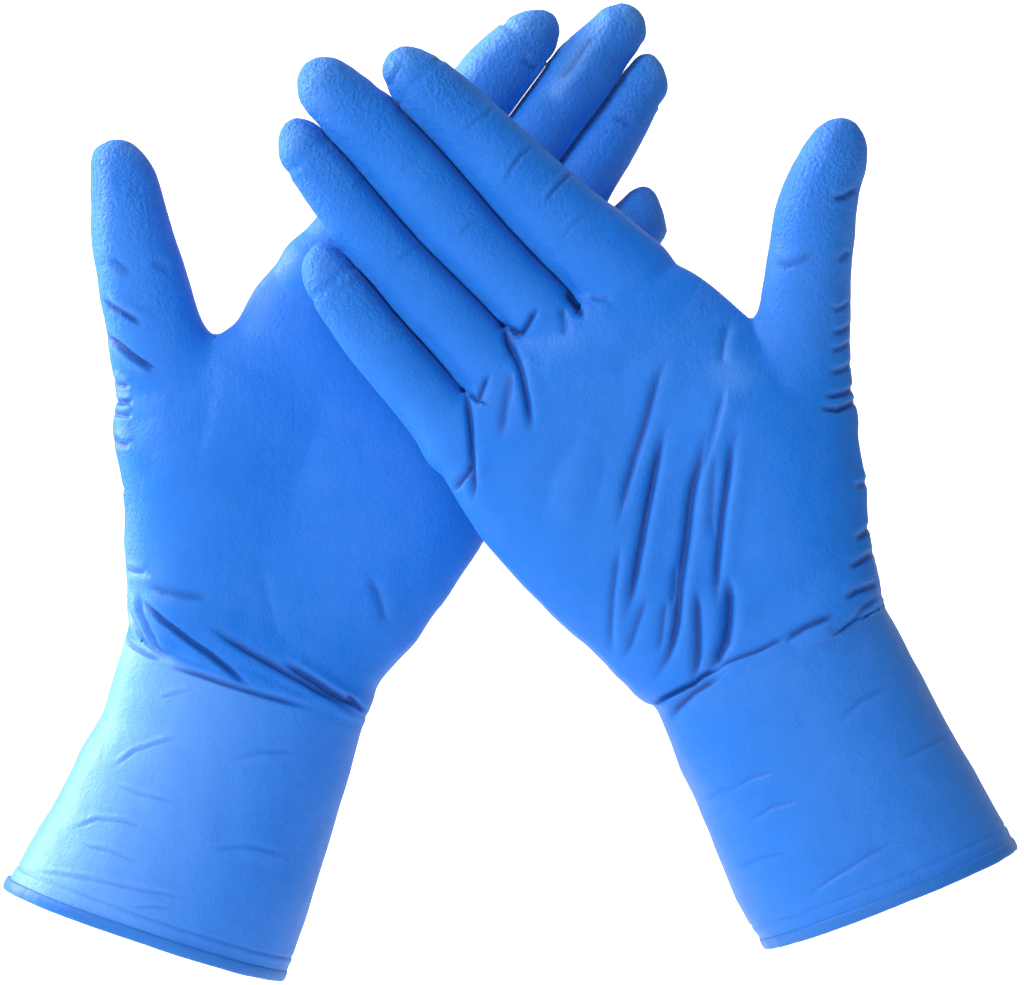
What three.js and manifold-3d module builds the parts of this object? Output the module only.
// A pair of long-cuff disposable rubber gloves, palms forward, standing upright
// and crossed: the right glove in front, the left glove behind it.
// Millimetres, +Z up, -Y is the side the palms face. The origin is on the
// plane z = 0 below the middle of the pair.
//
// Every glove is one thin film, cut at its fold lines into zones (cuff, palm,
// three a finger, two for the thumb), so that each zone can turn about its fold.
// The film is drawn thicker than the real 0.12 mm or so, to make sound solids.
import * as THREE from 'three';
import { mergeVertices } from 'three/addons/utils/BufferGeometryUtils.js';
import Module from 'manifold-3d';

const wasm = await Module();
wasm.setup();
const { clamp, degToRad } = THREE.MathUtils;

// ---------------------------------------------------------------- dimensions
const WALL = 1.0;                   // drawn film thickness
const PAIR_OFFSET = 16;             // each glove's centre plane from y = 0
const PAIR_SHIFT = [1.591, 0, 1.478];   // brings the bottom centre to the origin
const SEGMENTS = { finger: 10, thumb: 12, palm: 20, cuff: 24 };

// Exponents of the superellipse sections; 2 is a plain ellipse.
const DIGIT_POWER = 2;
const CUFF_POWER = 2.1;
const PALM_POWER = 2.3;

// Folds. Travel is in degrees, toward the back (+Y) and the front (-Y).
const FOLD_GAP = 0.5;               // slot left along a fold axis
const FOLD_MARGIN = 2.5;            // degrees added to each side of a notch
const AXIS_SHIFT = 0.40;            // digit fold axis toward the front, part of half depth
const WRIST_TRAVEL = { back: 20, front: 20 };
const THUMB_TRAVELS = [{ back: 10, front: 50 }, { back: 5, front: 70 }];

// Cutting blocks, large enough to pass through whatever they cut.
const CUT_DEPTH = 60;               // to each side of the fold axis in y
const CUT_LENGTH = 400;
const CUT_HALF_WIDTH = { digit: 40, cuff: 80, palm: 160 };

// Digits
const SIDE_GAP = 0.6;               // taken off each side, so neighbours stay apart
const DEPTH_RATIO = 0.93;           // half depth to half width
const MAX_HALF_DEPTH = 9.4;
const TIP_LENGTH = 9;               // where the hollow draws back from the tip
const TIP_CAP = { height: 0.35, scale: 0.45 };
const THUMB_LEAN = -0.08;

// Palm
const PALM_LEAN = { from: 60, share: 0.25 };       // part of the fingers' lean
const PALM_TOP_INSET = { from: 80, share: 0.6 };   // part of the inset taken along
const PALM_CAP_SCALE = 0.5;
const PALM_SLEEVE = { outer: [-16, 2], inner: [-14.5, 6] };   // along the cuff

// Cuff and the rolled bead at its rim
const CUFF_HALF_DEPTH = { wrist: 20, rim: 27.5 };
const HOLLOW_START = -8;
const HOLLOW_OVERRUN = 4;
const STATION_CLEARANCE = 2;        // stations this close to a sleeve's end are left out
const BEAD = {
  height: 3.2,
  gap: 0.3,                         // between the cuff and the bead
  startOut: 0.1,                    // how far it stands out of the film, along its height
  fullOut: 0.55,
  rimOut: 0.3,
  startRound: 0.9,
  rimRound: 0.7,
  bore: WALL + 0.2,                 // inset of its hollow
  boreOverrun: 3,
};

// A zone starts at `base` and runs along `dir`, both [x, z], as far as `end`.
// Rows are [along, side offset, half width], and in the palm also half depth.
// Offsets are positive to the right of `dir`, seen from the front. `folds` are
// distances along. `lean` is the rise in y per mm along a finger, `skew` the
// change in along per mm of side offset at the rim.
const GLOVES = {
  right: {
    y: -PAIR_OFFSET,
    lean: -0.10,
    fingerTravel: { back: 6, front: 75 },
    palm: {
      base: [64.22, 80.5], dir: [-0.62302, 0.78221], end: 98.0,
      rows: [
        [-4, 1.75, 29.0, 19.8], [16, 5.5, 37.0, 16.8], [32, 9.04, 42.8, 15.0],
        [46, 9.0, 44.7, 14.3], [66, 5.6, 42.6, 13.1], [80, 5.0, 41.0, 11.8],
        [90, 4.3, 38.2, 10.0], [96, 3.6, 29.0, 6.4]],
    },
    cuff: {
      base: [63.73, 81.74], dir: [0.43547, -0.90021], end: 67.3, skew: -0.071,
      rows: [
        [-16, -0.69, 30.5], [0, 0.0, 30.4], [12, 0.28, 31.1], [24, 0.24, 31.6],
        [36, 0.45, 32.3], [48, 0.27, 33.0], [60, 0.11, 33.6], [72, 0.11, 34.0]],
    },
    index: {
      base: [24.70, 176.34], dir: [-0.71668, 0.69740], end: 77.2, folds: [10, 34, 56],
      rows: [
        [-10, 1.4, 12.3], [0, 1.3, 11.8], [10, 1.28, 11.14], [22.8, 0.56, 10.32],
        [35.6, 0.74, 9.43], [48.4, 0.97, 8.61], [61.2, 0.82, 8.19], [69.2, 0.35, 7.14],
        [73.4, 0.04, 5.61], [76.0, -0.01, 3.42]],
    },
    middle: {
      base: [8.15, 166.46], dir: [-0.69542, 0.71860], end: 85.4, folds: [14, 39, 62],
      rows: [
        [-10, -0.5, 8.95], [10, -0.42, 8.65], [24.9, -0.41, 8.91], [39.7, 0.07, 9.38],
        [54.6, 0.55, 8.87], [69.4, 0.24, 8.2], [77.4, 0.05, 7.21], [81.6, -0.09, 5.8],
        [84.2, -0.17, 3.47]],
    },
    ring: {
      base: [-6.42, 155.10], dir: [-0.65345, 0.75697], end: 76.2, folds: [12.5, 34, 55],
      rows: [
        [-10, 0.06, 8.86], [10, -0.21, 8.58], [22.6, -0.83, 8.28], [35.1, -1.17, 7.81],
        [47.7, -1.37, 8.02], [60.2, -0.66, 7.22], [68.2, -0.08, 6.36], [72.4, 0.25, 5.19],
        [75.0, 0.55, 3.16]],
    },
    little: {
      base: [-16.30, 138.79], dir: [-0.62688, 0.77912], end: 54.4, folds: [11, 25, 39],
      rows: [
        [-8, 0.08, 9.06], [8, 0.31, 8.55], [18.8, -0.06, 8.27], [29.6, -0.25, 7.96],
        [40.4, 0.06, 7.39], [47.4, 0.41, 6.53], [51.0, 1.0, 5.44], [53.3, 1.49, 3.44]],
    },
    thumb: {
      base: [72.62, 144.72], dir: [0.12663, 0.99195], end: 70.2, folds: [26, 47],
      rows: [
        [-10, -1.15, 14.0], [0, -1.48, 13.5], [10, -2.39, 12.14], [21.1, -3.15, 11.17],
        [32.1, -3.64, 10.31], [43.2, -3.55, 10.06], [54.2, -2.45, 9.24], [62.2, -0.78, 7.77],
        [66.4, -0.2, 5.94], [69.0, 0.16, 3.47]],
    },
  },
  left: {
    y: PAIR_OFFSET,
    lean: 0.14,
    fingerTravel: { back: 20, front: 45 },
    palm: {
      base: [-68.06, 77.47], dir: [0.50176, 0.86501], end: 106.5,
      rows: [
        [-4, 1.5, 32.6, 19.8], [16, -6.2, 38.2, 16.8], [32, -10.4, 44.8, 15.0],
        [46, -11.7, 47.2, 14.3], [66, -6.2, 42.4, 13.1], [82, -4.2, 40.8, 12.0],
        [98, -3.5, 38.0, 9.8], [104, -3.0, 31.0, 7.0]],
    },
    cuff: {
      base: [-67.55, 76.46], dir: [-0.36279, -0.93187], end: 71.0, skew: 0.047,
      rows: [
        [-16, 1.61, 33.6], [0, -0.26, 31.8], [12, -1.42, 31.8], [24, -2.1, 32.2],
        [36, -1.98, 33.3], [48, -1.79, 34.5], [60, -1.05, 35.7], [76, 0.15, 36.7]],
    },
    index: {
      base: [-45.79, 180.19], dir: [0.65573, 0.75499], end: 83.9, folds: [16.5, 40.5, 62.5],
      rows: [
        [-10, 1.32, 10.7], [10, 1.3, 10.03], [24.5, 0.84, 9.57], [39.0, 0.45, 9.1],
        [53.4, 0.1, 8.63], [67.9, -0.23, 8.04], [75.9, 0.32, 7.13], [80.1, 0.69, 5.54],
        [82.7, 0.75, 3.1]],
    },
    middle: {
      base: [-25.81, 169.82], dir: [0.58914, 0.80803], end: 93.5, folds: [22, 47, 70],
      rows: [
        [-10, 0.15, 9.0], [10, 0.4, 8.2], [26.9, 0.5, 7.7], [43.8, 0.45, 7.5],
        [60.6, 0.55, 7.4], [77.5, 0.4, 7.5], [85.5, 1.3, 6.7], [89.7, 1.6, 5.7],
        [92.3, 1.6, 3.8]],
    },
    ring: {
      base: [-8.60, 155.40], dir: [0.49890, 0.86666], end: 88.4, folds: [24, 46, 67],
      rows: [
        [-10, 0.8, 8.9], [12, 0.85, 8.4], [28, 0.75, 8.0], [44, 0.45, 7.7],
        [58.0, 0.35, 7.1], [70, 0.85, 6.6], [79, 1.0, 6.2], [84.6, 0.8, 5.1],
        [87.2, 0.1, 3.2]],
    },
    little: {
      base: [2.78, 138.95], dir: [0.46652, 0.88451], end: 67.3, folds: [23, 37.5, 51.5],
      rows: [
        [-8, 0.41, 8.7], [8, -0.28, 7.85], [23.1, -0.59, 7.26], [38.2, -0.55, 6.93],
        [53.3, -0.08, 6.7], [60.3, 0.62, 5.74], [63.9, 0.79, 4.61], [66.2, 0.47, 2.62]],
    },
    thumb: {
      base: [-86.53, 145.28], dir: [-0.19974, 0.97985], end: 67.2, folds: [24, 44],
      rows: [
        [-10, -0.53, 15.0], [0, 0.14, 14.4], [10, 0.6, 13.21], [20.3, -0.23, 11.7],
        [30.6, -0.68, 11.04], [40.9, -1.05, 10.27], [51.2, -0.85, 9.1], [59.2, -0.75, 7.52],
        [63.4, -0.83, 6.02], [66.0, -0.8, 3.59]],
    },
  },
};
const DIGITS = ['index', 'middle', 'ring', 'little', 'thumb'];

// ---------------------------------------------------------------- materials
const FINISHES = {
  cuff: { color: 0x4496f0, roughness: 0.38 },
  bead: { color: 0x4c93d8, roughness: 0.35 },
  palm: { color: 0x2f74d2, roughness: 0.42 },
  finger: { color: 0x2b6cc9, roughness: 0.45 },
  fingerTip: { color: 0x2b6cc9, roughness: 0.48 },
  thumb: { color: 0x3f8fe6, roughness: 0.42 },
  thumbTip: { color: 0x3f8fe6, roughness: 0.45 },
};

function filmMaterial(name, finish) {
  const material = new THREE.MeshStandardMaterial({ ...finish, metalness: 0 });
  material.name = name;
  return material;
}

// ---------------------------------------------------------------- solids
function signedVolume(points, triangles) {
  const corner = (i) => new THREE.Vector3().fromArray(points, 3 * triangles[i]);
  let volume = 0;
  for (let i = 0; i < triangles.length; i += 3) {
    volume += corner(i).dot(corner(i + 1).cross(corner(i + 2))) / 6;
  }
  return volume;
}

// Welds a geometry, drops its collapsed triangles and turns it outside out.
function toSolid(geometry) {
  geometry.deleteAttribute('normal');
  geometry.deleteAttribute('uv');
  const welded = mergeVertices(geometry, 1e-4);
  const points = welded.getAttribute('position').array;
  const indices = welded.index.array;
  const triangles = [];
  for (let i = 0; i < indices.length; i += 3) {
    const [a, b, c] = indices.subarray(i, i + 3);
    if (a !== b && b !== c && a !== c) triangles.push(a, b, c);
  }
  if (signedVolume(points, triangles) < 0) {
    for (let i = 1; i < triangles.length; i += 3) {
      [triangles[i], triangles[i + 1]] = [triangles[i + 1], triangles[i]];
    }
  }
  return new wasm.Manifold(new wasm.Mesh({
    numProp: 3,
    vertProperties: new Float32Array(points),
    triVerts: new Uint32Array(triangles),
  }));
}

function toMesh(name, solid, finish) {
  const { vertProperties, triVerts } = solid.getMesh();
  const geometry = new THREE.BufferGeometry();
  geometry.setAttribute('position', new THREE.BufferAttribute(vertProperties, 3));
  geometry.setIndex(new THREE.BufferAttribute(triVerts, 1));
  geometry.computeVertexNormals();
  const mesh = new THREE.Mesh(geometry, filmMaterial(name, finish));
  mesh.name = name;
  return mesh;
}

// Moves one vertex to a place given in a zone's own frame.
function place(position, i, { base, dir }, along, side, y) {
  const x = base[0] + dir[0] * along + dir[1] * side;
  const z = base[1] + dir[1] * along - dir[0] * side;
  position.setXYZ(i, x, y, z);
}

const signedPower = (value, power) => Math.sign(value) * Math.abs(value) ** power;

// A lathe whose rings are moved onto the stations
// {along, side, halfWidth, halfDepth, y, skew}, closed by a point at each end.
function loft(zone, stations, segments, power) {
  const pole = (station) => ({ ...station, halfWidth: 0, halfDepth: 0 });
  const rings = [pole(stations[0]), ...stations, pole(stations.at(-1))];
  const profile = rings.map((_, i) => new THREE.Vector2(1, i));
  const geometry = new THREE.LatheGeometry(profile, segments);
  const position = geometry.getAttribute('position');
  for (let j = 0; j <= segments; j++) {
    const angle = (2 * Math.PI * (j % segments)) / segments;
    const across = signedPower(Math.cos(angle), 2 / power);
    const deep = signedPower(Math.sin(angle), 2 / power);
    rings.forEach((ring, i) => {
      const side = ring.side + ring.halfWidth * across;
      const along = ring.along + (ring.skew ?? 0) * side;
      place(position, j * rings.length + i, zone, along, side, ring.y + ring.halfDepth * deep);
    });
  }
  return toSolid(geometry);
}

const lerp = (from, to, share) => from + (to - from) * share;

// The value of one column of a zone's rows at any distance along.
function interpolate(rows, along, column) {
  const next = rows.findIndex((row, i) => i > 0 && along <= row[0]);
  const [low, high] = [rows[next - 1], rows[next]];
  return lerp(low[column], high[column], (along - low[0]) / (high[0] - low[0]));
}

// ---------------------------------------------------------------- folds
// A fold's notch opens by half its travel on each side of the axis; front and
// back are the slopes of the notch's faces.
function makeFold(along, y, travel) {
  const slope = (degrees) => Math.tan(degToRad(degrees / 2 + FOLD_MARGIN));
  return { along, y, front: slope(travel.front), back: slope(travel.back) };
}

const wristFold = (glove) => makeFold(0, glove.y, WRIST_TRAVEL);

// The block beyond a fold (sign = 1) or short of it (sign = -1). Its outline
// lies in (along, y) and is extruded across the zone.
function foldBlock(zone, { along, y, front, back }, sign, halfWidth) {
  const outline = [
    [along + sign * (FOLD_GAP / 2 + CUT_DEPTH * front), y - CUT_DEPTH],
    [along + sign * FOLD_GAP / 2, y],
    [along + sign * (FOLD_GAP / 2 + CUT_DEPTH * back), y + CUT_DEPTH],
    [along + sign * CUT_LENGTH, y + CUT_DEPTH],
    [along + sign * CUT_LENGTH, y - CUT_DEPTH],
  ];
  const shape = new THREE.Shape(outline.map((point) => new THREE.Vector2(...point)));
  const options = { depth: 2 * halfWidth, bevelEnabled: false, steps: 1 };
  const geometry = new THREE.ExtrudeGeometry(shape, options);
  const position = geometry.getAttribute('position');
  for (let i = 0; i < position.count; i++) {
    const side = position.getZ(i) - halfWidth;
    place(position, i, zone, position.getX(i), side, position.getY(i));
  }
  return toSolid(geometry);
}

const beyond = (solid, zone, fold, halfWidth = CUT_HALF_WIDTH.digit) =>
  solid.intersect(foldBlock(zone, fold, 1, halfWidth));
const shortOf = (solid, zone, fold, halfWidth = CUT_HALF_WIDTH.digit) =>
  solid.intersect(foldBlock(zone, fold, -1, halfWidth));

// ---------------------------------------------------------------- cuff
const rimShare = (cuff, along) => clamp(along / cuff.end, 0, 1);

function cuffStation({ cuff, y }, along, inset, skew) {
  const { wrist, rim } = CUFF_HALF_DEPTH;
  return {
    along,
    side: interpolate(cuff.rows, along, 1),
    halfWidth: interpolate(cuff.rows, along, 2) - inset,
    halfDepth: lerp(wrist, rim, rimShare(cuff, along)) - inset,
    y,
    skew,
  };
}

// A length of the sleeve; when skewed, its sections tilt more toward the rim.
function sleeve(glove, inset, [from, to], skewed) {
  const { cuff } = glove;
  const inner = cuff.rows.map((row) => row[0])
    .filter((along) => along > from + STATION_CLEARANCE && along < to - STATION_CLEARANCE);
  const stations = [from, ...inner, to].map((along) =>
    cuffStation(glove, along, inset, skewed ? cuff.skew * rimShare(cuff, along) : 0));
  return loft(cuff, stations, SEGMENTS.cuff, CUFF_POWER);
}

function cuffSolid(glove) {
  const { cuff } = glove;
  const outer = sleeve(glove, 0, [0, cuff.end - BEAD.height - BEAD.gap], true);
  const inner = sleeve(glove, WALL, [HOLLOW_START, cuff.end + HOLLOW_OVERRUN], true);
  return beyond(outer.subtract(inner), cuff, wristFold(glove), CUT_HALF_WIDTH.cuff);
}

// A band round the rim with a flat end face.
function beadSolid(glove) {
  const { cuff } = glove;
  const start = cuff.end - BEAD.height;
  const band = (rows) => loft(
    cuff,
    rows.map(([along, out]) => cuffStation(glove, along, -out, cuff.skew)),
    SEGMENTS.cuff,
    CUFF_POWER,
  );
  const outer = band([
    [start, BEAD.startOut],
    [start + BEAD.startRound, BEAD.fullOut],
    [cuff.end - BEAD.rimRound, BEAD.fullOut],
    [cuff.end, BEAD.rimOut],
  ]);
  const bore = band([
    [start - BEAD.boreOverrun, -BEAD.bore],
    [cuff.end + BEAD.boreOverrun, -BEAD.bore],
  ]);
  return outer.subtract(bore);
}

// ---------------------------------------------------------------- digits
const digitHalfDepth = (halfWidth) => Math.min(DEPTH_RATIO * halfWidth, MAX_HALF_DEPTH);

// A whole digit, or its hollow when inset. The hollow leaves out every second
// row short of the last two.
function digitLoft(zone, y, lean, segments, inset) {
  const { rows } = zone;
  const kept = rows.filter((_, i) => inset === 0 || i % 2 === 0 || i >= rows.length - 2);
  const tipStart = zone.end - TIP_LENGTH;
  const stations = kept.map(([along, side, halfWidth]) => ({
    along: along - inset * Math.max(along - tipStart, 0) / TIP_LENGTH,
    side,
    halfWidth: halfWidth - SIDE_GAP - inset,
    halfDepth: digitHalfDepth(halfWidth) - inset,
    y: y + lean * along,
  }));
  const last = stations.at(-1);
  const end = zone.end - inset;
  stations.push({
    along: end - TIP_CAP.height,
    side: last.side,
    halfWidth: last.halfWidth * TIP_CAP.scale,
    halfDepth: last.halfDepth * TIP_CAP.scale,
    y: y + lean * end,
  });
  return loft(zone, stations, segments, DIGIT_POWER);
}

function makeDigit(glove, name) {
  const zone = glove[name];
  const isThumb = name === 'thumb';
  const lean = isThumb ? THUMB_LEAN : glove.lean;
  const segments = isThumb ? SEGMENTS.thumb : SEGMENTS.finger;
  const folds = zone.folds.map((along, i) => {
    const shift = AXIS_SHIFT * digitHalfDepth(interpolate(zone.rows, along, 2));
    const travel = isThumb ? THUMB_TRAVELS[i] : glove.fingerTravel;
    return makeFold(along, glove.y + lean * along - shift, travel);
  });
  return {
    name,
    isThumb,
    zone,
    folds,
    outer: digitLoft(zone, glove.y, lean, segments, 0),
    inner: digitLoft(zone, glove.y, lean, segments, WALL),
  };
}

// The zones beyond the first fold, as [name, solid, finish].
function digitPieces({ name, isThumb, zone, folds, outer, inner }) {
  const shell = outer.subtract(inner);
  const parts = isThumb ? ['base', 'tip'] : ['base', 'middle', 'tip'];
  return parts.map((part, i) => {
    const started = beyond(shell, zone, folds[i]);
    if (part !== 'tip') {
      const finish = isThumb ? FINISHES.thumb : FINISHES.finger;
      return [`${name}_${part}`, shortOf(started, zone, folds[i + 1]), finish];
    }
    return [`${name}_tip`, started, isThumb ? FINISHES.thumbTip : FINISHES.fingerTip];
  });
}

// ---------------------------------------------------------------- palm
function palmLoft({ palm, y, lean }, inset) {
  const stations = palm.rows.map(([along, side, halfWidth, halfDepth]) => ({
    along: along > PALM_TOP_INSET.from ? along - inset * PALM_TOP_INSET.share : along,
    side,
    halfWidth: halfWidth - inset,
    halfDepth: halfDepth - inset,
    y: y + lean * Math.max(along - PALM_LEAN.from, 0) * PALM_LEAN.share,
  }));
  const last = stations.at(-1);
  stations.push({
    ...last,
    along: palm.end - inset,
    halfWidth: last.halfWidth * PALM_CAP_SCALE,
    halfDepth: last.halfDepth * PALM_CAP_SCALE,
  });
  return loft(palm, stations, SEGMENTS.palm, PALM_POWER);
}

// The hand body with the stubs of the digits and of the sleeve on it.
function palmSolid(glove, digits) {
  let body = palmLoft(glove, 0).add(sleeve(glove, 0, PALM_SLEEVE.outer, false));
  let hollow = palmLoft(glove, WALL).add(sleeve(glove, WALL, PALM_SLEEVE.inner, false));
  for (const { zone, folds, outer, inner } of digits) {
    body = body.add(shortOf(outer, zone, folds[0]));
    hollow = hollow.add(inner);
  }
  return shortOf(body.subtract(hollow), glove.cuff, wristFold(glove), CUT_HALF_WIDTH.palm);
}

// ---------------------------------------------------------------- the pair
function makeGlove(hand, glove) {
  const digits = DIGITS.map((name) => makeDigit(glove, name));
  const pieces = [
    ['cuff', cuffSolid(glove), FINISHES.cuff],
    ['rolled_bead', beadSolid(glove), FINISHES.bead],
    ['palm', palmSolid(glove, digits), FINISHES.palm],
    ...digits.flatMap(digitPieces),
  ];
  const group = new THREE.Group();
  for (const [name, solid, finish] of pieces) group.add(toMesh(`${hand}_${name}`, solid, finish));
  return group;
}

const pair = new THREE.Group();
pair.name = 'rubber_gloves';
pair.position.set(...PAIR_SHIFT);
for (const [hand, glove] of Object.entries(GLOVES)) pair.add(makeGlove(hand, glove));

export default pair;
